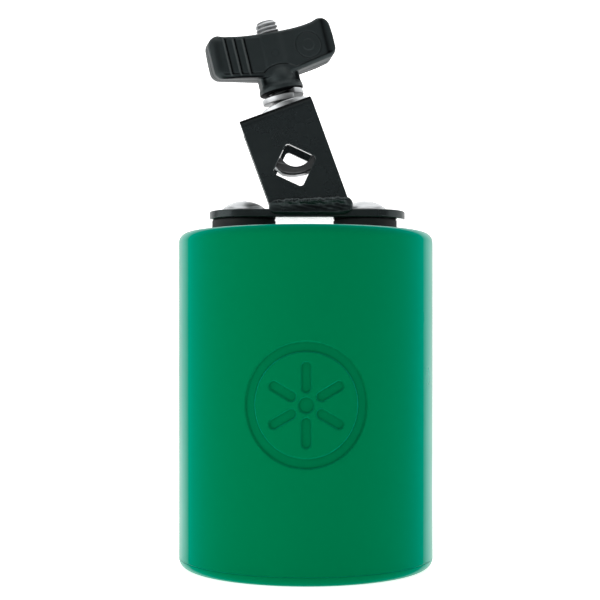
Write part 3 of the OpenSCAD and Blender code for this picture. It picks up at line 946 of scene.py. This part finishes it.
def wing_knob():
    verts, faces, normals = surface_net(knob_field, (-23.2, -8.2, -0.6), (22.8, 8.2, 23.8), 0.25)
    x, y, u = verts.T
    on_face = (np.abs(y) > 3.2) & (u > 4.8)
    # Painted shading of the wing faces, from wing_face.
    shade = np.where(y < 0, wing_face(x, u)[1], wing_face(-x, u)[1])
    mask = np.where(on_face, shade, 0)
    # The parting line is drawn as a dark line; painted shade in the pockets beside the column and on
    # the bottom of the collar.
    parting = bell(y - 0.4, 0.36) * (np.abs(normals[:, 1]) < 0.5) * (u > 5)
    pocket = (smooth_step(np.abs(x), 5.0, 5.8) * smooth_step(np.abs(y), 2.4, 3.4)
              * smooth_step(u, 2.6, 3.6) * (u < 6.2) * (np.hypot(x, y) < 7.2))
    below = 0.95 * smooth_step(0.55 - u, 0, 0.3)
    extra = np.maximum(np.maximum(0.6 * parting, 0.95 * pocket), below)
    mask = np.where(extra > 0.04, np.maximum(extra, mask), mask)
    turn = np.array([[math.cos(KNOB_TURN), math.sin(KNOB_TURN), 0],
                     [-math.sin(KNOB_TURN), math.cos(KNOB_TURN), 0], [0, 0, 1]])
    return (on_bolt(verts @ turn), faces, on_bolt(normals @ turn) - BOLT_FOOT, mask)


# ---------- assembly ----------

def add(name, shape, material, body, nodes):
    """A piece from (verts, faces) and, when there are any, normals and shade."""
    normals, mask = (*shape[2:], None, None)[:2]
    slot = material["slot"]
    return piece(name, *shape[:2], material, body, slot, nodes, normals, mask)


def build_pieces():
    add("can", can_shell(), GREEN, "shaker", ["shell"])
    add("can_end_cap", end_cap(), GREEN_CAP, "shaker", ["end_cap"])
    for side, turn in (("left", 0.5), ("right", 1.1)):
        add("pad_" + side, isolator(side), RUBBER, "shaker", ["isolator_" + side])
        add("mounting_screw_" + side, screw("screw_" + side, turn), ZINC, "shaker",
            ["screw_" + side])
    add("bracket_plate", base_plate(), COAT, "shaker", ["base_plate"])
    add("bracket_channel", channel(), COAT, "shaker", ["clamp_channel"])
    add("bead_front", weld(-1), COAT, "shaker", ["weld_front"])
    add("bead_back", weld(1), COAT, "shaker", ["weld_back"])
    add("plain_washer", flat_washer(), ZINC, "shaker", ["flat_washer"])
    add("split_washer", lock_washer(), ZINC, "spring_washer", ["lock_washer"])
    add("rod_eye_bolt", eye_bolt(), ZINC, "bolt", ["eye_bolt"])
    add("clamp_knob", wing_knob(), NYLON, "knob", ["wing_knob"])


def dress_cad_nodes():
    inner = {"shot": STEEL, "inner_washer_left": ZINC, "inner_washer_right": ZINC,
             "lock_nut_left": ZINC, "lock_nut_right": ZINC, "nylon_ring_left": NUT_NYLON,
             "nylon_ring_right": NUT_NYLON, "knob_insert": DULL_STEEL}
    for name, material in inner.items():
        mesh = frame["nodes"][name].data
        mesh.materials.clear()
        mesh.materials.append(material)


# ---------- stage, light, camera ----------

def emitter(name, place, size, power, aim, colour=(1, 1, 1)):
    lamp = bpy.data.lights.new(name, "AREA")
    lamp.shape = "RECTANGLE"
    lamp.size, lamp.size_y = size
    lamp.energy = power
    lamp.color = colour
    obj = bpy.data.objects.new(name, lamp)
    obj.location = place
    obj.rotation_euler = (Vector(aim) - Vector(place)).to_track_quat("-Z", "Y").to_euler()
    bpy.context.scene.collection.objects.link(obj)
    return obj


def white_floor():
    """Pale sweep: a floor that curves up behind the object."""
    profile = [(-3.0, 0), (1.2, 0)] + [(1.2 + 0.6 * math.sin(a), 0.6 - 0.6 * math.cos(a))
                                       for a in np.linspace(0.1, math.pi / 2, 16)] + [(1.8, 3.0)]
    verts = [(x, y, z) for y, z in profile for x in (-4.0, 4.0)]
    faces = [(2 * i, 2 * i + 1, 2 * i + 3, 2 * i + 2) for i in range(len(profile) - 1)]
    mesh = bpy.data.meshes.new("sweep")
    mesh.from_pydata(verts, [], faces)
    mesh.polygons.foreach_set("use_smooth", [True] * len(faces))
    g = Graph("sweep_paper")
    paper = g.mix(g.noise(8.0, 2.0), (0.93, 0.93, 0.93, 1), (0.96, 0.96, 0.96, 1))
    g.put(g.shader.inputs["Base Color"], paper)
    g.put(g.shader.inputs["Roughness"], 0.9)
    g.put(g.shader.inputs["Specular IOR Level"], 0.0)
    g.put(g.shader.inputs["Emission Color"], (1, 1, 1, 1))
    g.put(g.shader.inputs["Emission Strength"], 0.85)
    mesh.materials.append(g.material)
    obj = bpy.data.objects.new("sweep", mesh)
    bpy.context.scene.collection.objects.link(obj)


def studio_world():
    """Even tent light: bright above and behind, darker towards the camera."""
    world = bpy.data.worlds.new("tent")
    world.use_nodes = True
    tree = world.node_tree
    ground = tree.nodes["Background"]
    where = tree.nodes.new("ShaderNodeTexCoord")
    split = tree.nodes.new("ShaderNodeSeparateXYZ")
    tree.links.new(where.outputs["Generated"], split.inputs[0])
    level = tree.nodes.new("ShaderNodeMapRange")
    level.interpolation_type = "SMOOTHSTEP"
    tree.links.new(split.outputs["Y"], level.inputs["Value"])
    for key, value in (("From Min", -0.2), ("From Max", 0.75), ("To Min", 0.08),
                       ("To Max", 0.75)):
        level.inputs[key].default_value = value
    tree.links.new(level.outputs["Result"], ground.inputs["Strength"])
    ground.inputs["Color"].default_value = (1, 1, 1, 1)
    bpy.context.scene.world = world


CAMERA_PLACE = (-0.00203, -0.4552, 0.0789)
LENS, LENS_SHIFT = 77.634, 0.0667
OBJECT_MIDDLE = (0, 0, 0.09)


def light_and_camera():
    scene = bpy.context.scene
    emitter("left_box", (-1.1, -0.45, 0.40), (1.3, 1.3), 8.0, OBJECT_MIDDLE)
    emitter("right_box", (1.15, -0.10, 0.35), (1.2, 1.3), 4.5, OBJECT_MIDDLE)
    emitter("top_box", (0.0, -0.05, 1.05), (1.2, 1.0), 5.0, OBJECT_MIDDLE)
    scene.view_settings.view_transform = "Standard"
    data = bpy.data.cameras.new("camera")
    data.sensor_width = 36.0
    data.lens = LENS
    data.shift_y = LENS_SHIFT
    data.clip_start = 0.01
    camera = bpy.data.objects.new("camera", data)
    camera.location = CAMERA_PLACE
    camera.rotation_euler = (math.radians(90), 0, 0)
    scene.collection.objects.link(camera)
    scene.camera = camera


build_pieces()
dress_cad_nodes()
white_floor()
studio_world()
light_and_camera()
